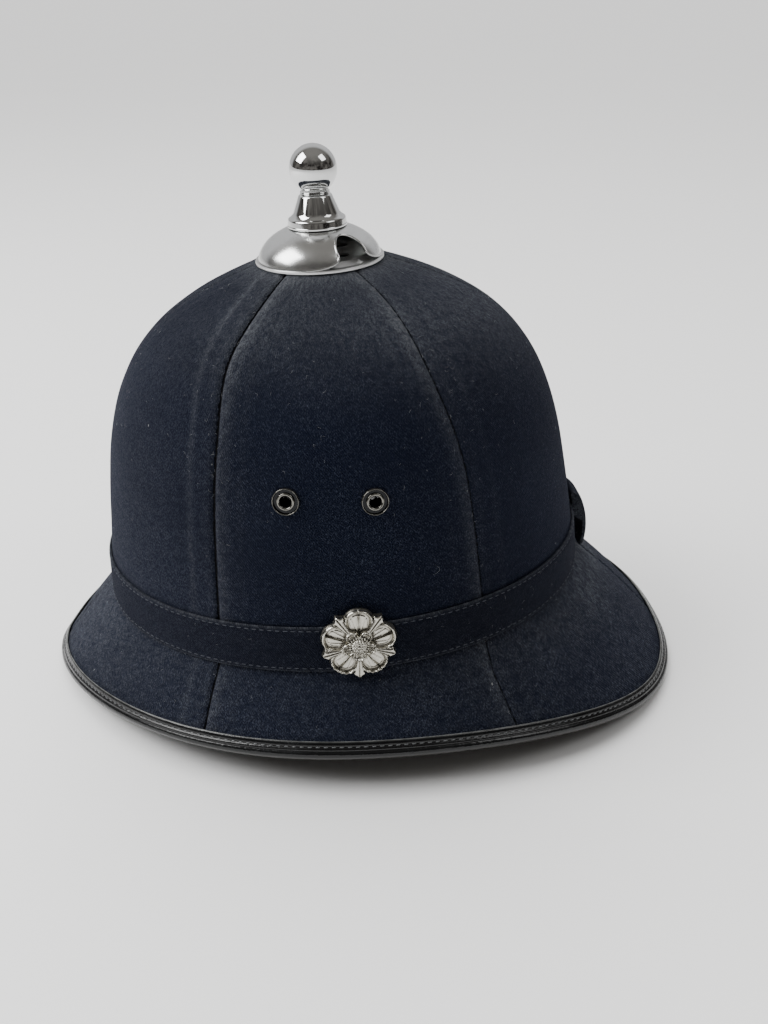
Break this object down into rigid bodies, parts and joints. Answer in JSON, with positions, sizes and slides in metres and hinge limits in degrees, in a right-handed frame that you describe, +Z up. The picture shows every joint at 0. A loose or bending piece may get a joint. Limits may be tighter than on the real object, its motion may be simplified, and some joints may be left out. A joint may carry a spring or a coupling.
{
  "type": "custodian helmet",
  "caption": "Tall cloth-covered police custodian helmet with a sloping leather-edged brim, a cloth band, metal roses, vent eyelets and a chromed ball finial.",
  "frame": {"origin": "middle of the rim's outline, on the surface that the helmet stands on", "axes": "+Z up, -Y toward the wearer's front, +Y toward the back of the neck, +X toward the wearer's left, the side that the picture shows"},
  "size_m": [0.2414, 0.318, 0.2485],
  "materials": {
    "hard_body": "matt black moulded body",
    "navy_cloth": "navy wool serge",
    "band_cloth": "navy wool serge, stitched along both edges",
    "patent_leather": "glossy black patent leather",
    "chromed_metal": "polished chrome",
    "black_enamel": "glossy black enamel"
  },
  "bodies": {
    "root": {"shell": "hard_body", "cover_left": "navy_cloth", "cover_rear_left": "navy_cloth", "cover_rear_right": "navy_cloth", "cover_right": "navy_cloth", "cover_front_right": "navy_cloth", "cover_front_left": "navy_cloth", "hatband": "band_cloth", "band_keeper": "band_cloth", "edging": "patent_leather", "mount_plate": "chromed_metal", "vent_dome": "chromed_metal", "ball_finial": "chromed_metal", "eyelet_left_front": "black_enamel", "eyelet_left_rear": "black_enamel", "eyelet_right_front": "black_enamel", "eyelet_right_rear": "black_enamel", "rosette_left": "chromed_metal", "rosette_right": "chromed_metal"}
  },
  "joints": []
}
